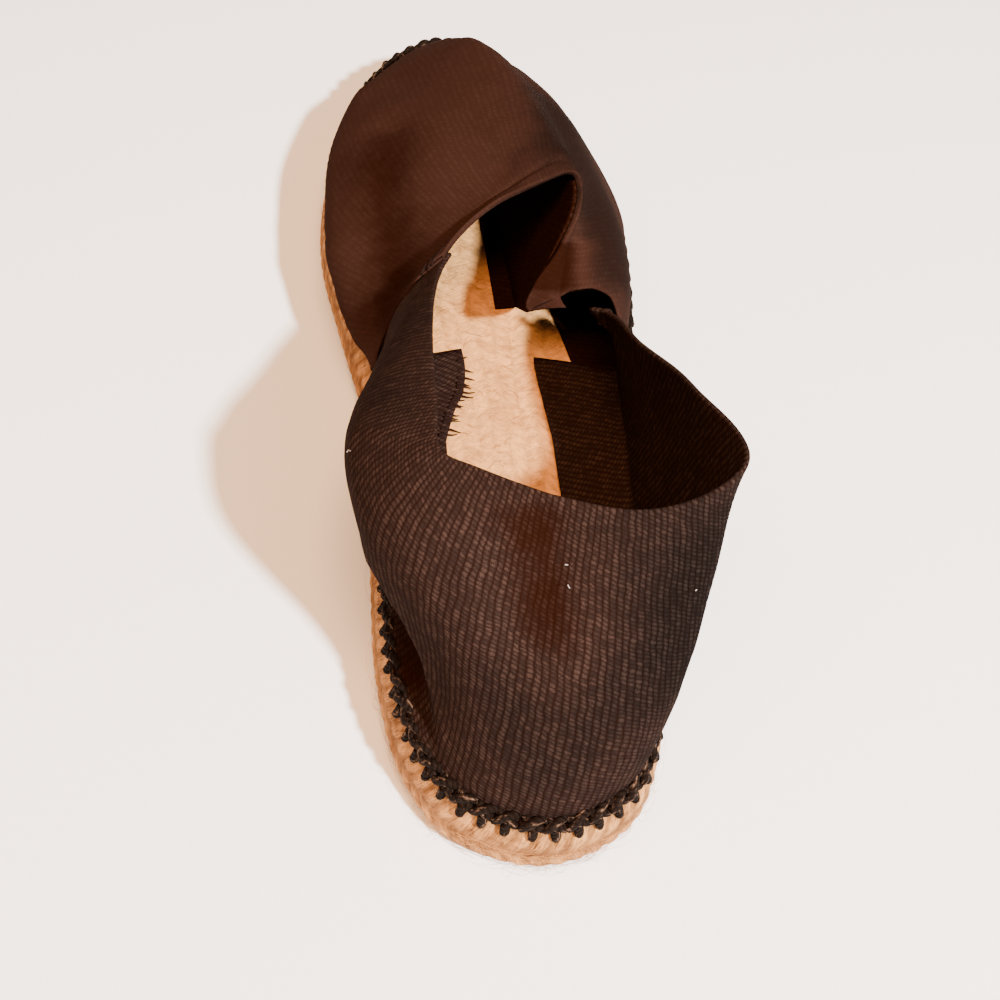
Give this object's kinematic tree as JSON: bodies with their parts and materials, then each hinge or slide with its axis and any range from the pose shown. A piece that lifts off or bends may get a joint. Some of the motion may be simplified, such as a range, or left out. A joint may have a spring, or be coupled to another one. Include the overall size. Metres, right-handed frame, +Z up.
{
  "type": "espadrille",
  "caption": "Slack slip-on canvas shoe for the right foot on a thick wound jute sole, with a stitched edge, a deep throat and a soft heel piece that has sunk forward.",
  "frame": {"origin": "on the floor under the middle of the shoe's box", "axes": "+X to the wearer's right, +Y from heel to toe, +Z up"},
  "size_m": [0.0924, 0.2712, 0.0803],
  "materials": {
    "jute_braid": "natural jute braid, matt and hairy",
    "canvas": "dark brown-black cotton canvas, matt, plain weave with a raised rib",
    "edge_thread": "black waxed cotton thread"
  },
  "bodies": {
    "root": {"sole": "jute_braid", "upper": "canvas", "edge_stitching": "edge_thread"}
  },
  "joints": []
}
